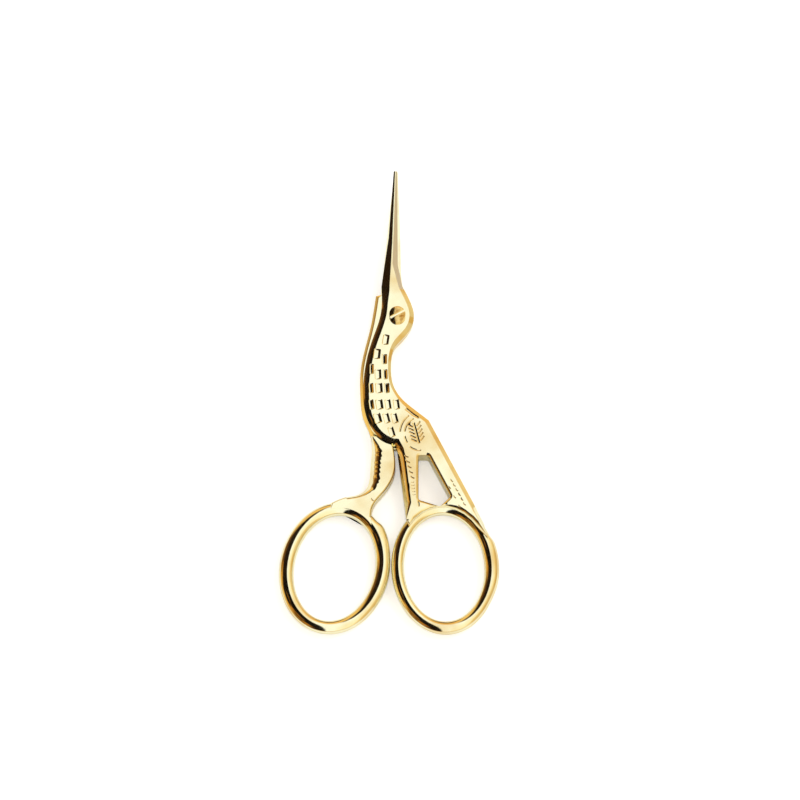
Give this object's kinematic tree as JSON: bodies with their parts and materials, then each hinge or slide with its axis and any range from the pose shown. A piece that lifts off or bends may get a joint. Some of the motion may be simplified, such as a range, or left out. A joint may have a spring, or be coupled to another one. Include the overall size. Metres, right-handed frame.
{
  "type": "embroidery scissors",
  "caption": "Small gold-plated embroidery scissors in the shape of a stork, with slender pointed blades, oval finger rings and a slotted pivot screw.",
  "frame": {"origin": "on the pivot axis, in the plane of the back half's outer face, on which the scissors lie", "axes": "+Z along the pivot axis, out of the screw's head; +Y along the shut blades to their tips; +X to the bird's back, with the finger rings towards -Y"},
  "size_m": [0.0416, 0.0929, 0.0052],
  "materials": {
    "gold_plate": "mirror-polished gold plate over forged steel",
    "gold_screw": "polished gold plate over turned steel",
    "ground_steel": "fine ground steel along the cutting bevels"
  },
  "bodies": {
    "back": {"back_half": "gold_plate", "pivot_screw": "gold_screw"},
    "front": {"front_half": "gold_plate"}
  },
  "joints": [
    {"name": "pivot", "type": "hinge", "parent": "back", "child": "front", "pos_m": [0, 0, 0.00205], "axis": [0, 0, 1], "range_deg": [0, 70]}
  ]
}
